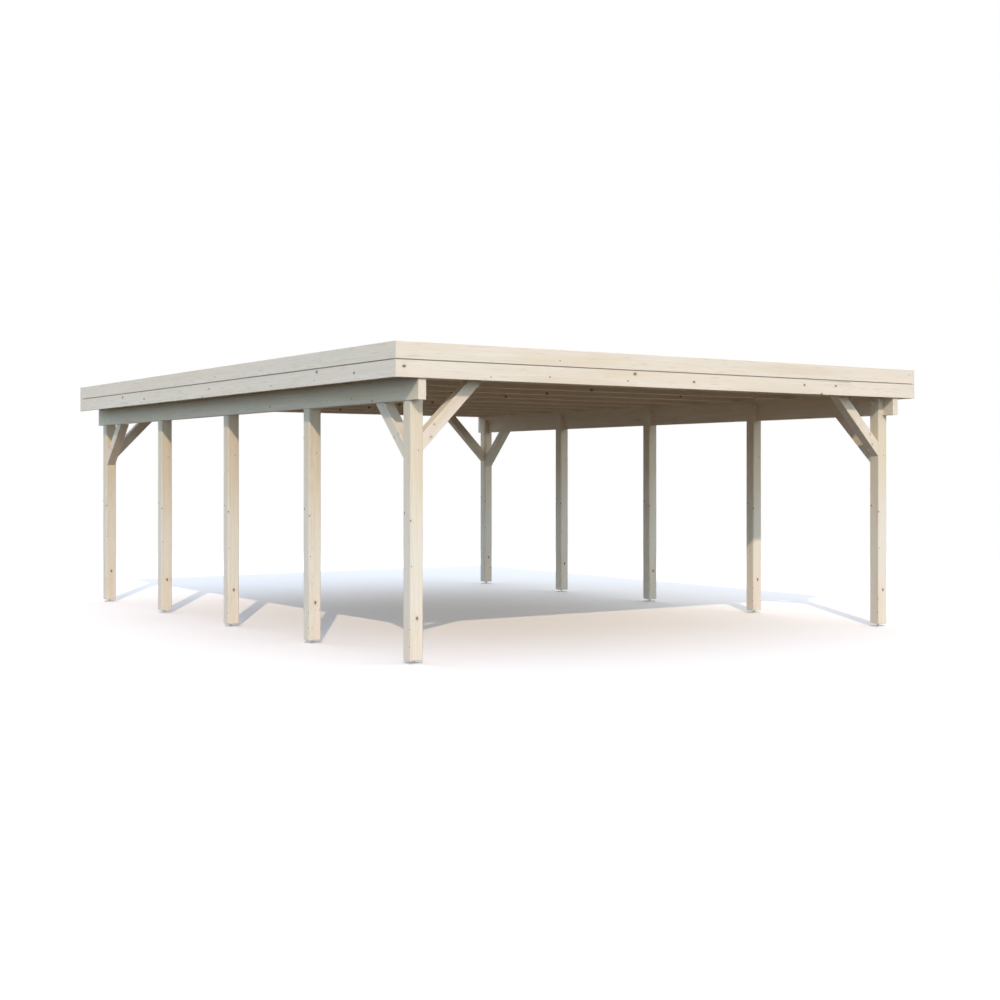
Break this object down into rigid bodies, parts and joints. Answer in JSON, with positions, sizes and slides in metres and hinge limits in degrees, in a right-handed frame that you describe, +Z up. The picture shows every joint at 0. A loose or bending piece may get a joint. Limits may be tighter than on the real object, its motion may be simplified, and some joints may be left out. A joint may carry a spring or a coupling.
{
  "type": "timber carport",
  "caption": "Open flat-roofed timber carport: square posts on steel feet carry side beams, rafters, a boarded roof and a deep fascia, with corner braces.",
  "frame": {"origin": "on the ground, at the middle of the roof's outline", "axes": "+Z up, the front faces -Y, +X to the right seen from the front, and the side beams run along Y"},
  "size_m": [6.05, 7.68, 2.597],
  "materials": {
    "frame_timber": "planed, unpainted pale spruce",
    "fascia_timber": "planed, unpainted pale spruce",
    "roof_timber": "planed, unpainted spruce",
    "galvanised_steel": "dull hot-dip zinc",
    "roof_felt": "matt mineral felt"
  },
  "bodies": {
    "root": {"post_left_1": "frame_timber", "post_left_2": "frame_timber", "post_left_3": "frame_timber", "post_left_4": "frame_timber", "post_left_5": "frame_timber", "post_right_1": "frame_timber", "post_right_2": "frame_timber", "post_right_3": "frame_timber", "post_right_4": "frame_timber", "post_right_5": "frame_timber", "beam_left": "frame_timber", "beam_right": "frame_timber", "beam_brace_front_left": "frame_timber", "beam_brace_back_left": "frame_timber", "beam_brace_front_right": "frame_timber", "beam_brace_back_right": "frame_timber", "cross_brace_front_left": "frame_timber", "cross_brace_back_left": "frame_timber", "cross_brace_front_right": "frame_timber", "cross_brace_back_right": "frame_timber", "post_feet_left": "galvanised_steel", "post_feet_right": "galvanised_steel", "rafter_1": "roof_timber", "rafter_2": "roof_timber", "rafter_3": "roof_timber", "rafter_4": "roof_timber", "rafter_5": "roof_timber", "rafter_6": "roof_timber", "rafter_7": "roof_timber", "rafter_8": "roof_timber", "rafter_9": "roof_timber", "rafter_10": "roof_timber", "rafter_11": "roof_timber", "brace_rafter_front": "roof_timber", "brace_rafter_back": "roof_timber", "roof_deck": "roof_timber", "roof_felt": "roof_felt", "fascia_front_lower": "fascia_timber", "fascia_front_upper": "fascia_timber", "fascia_back_upper": "fascia_timber", "fascia_left_lower": "fascia_timber", "fascia_right_lower": "fascia_timber", "fascia_left_upper": "fascia_timber", "fascia_right_upper": "fascia_timber"}
  },
  "joints": []
}
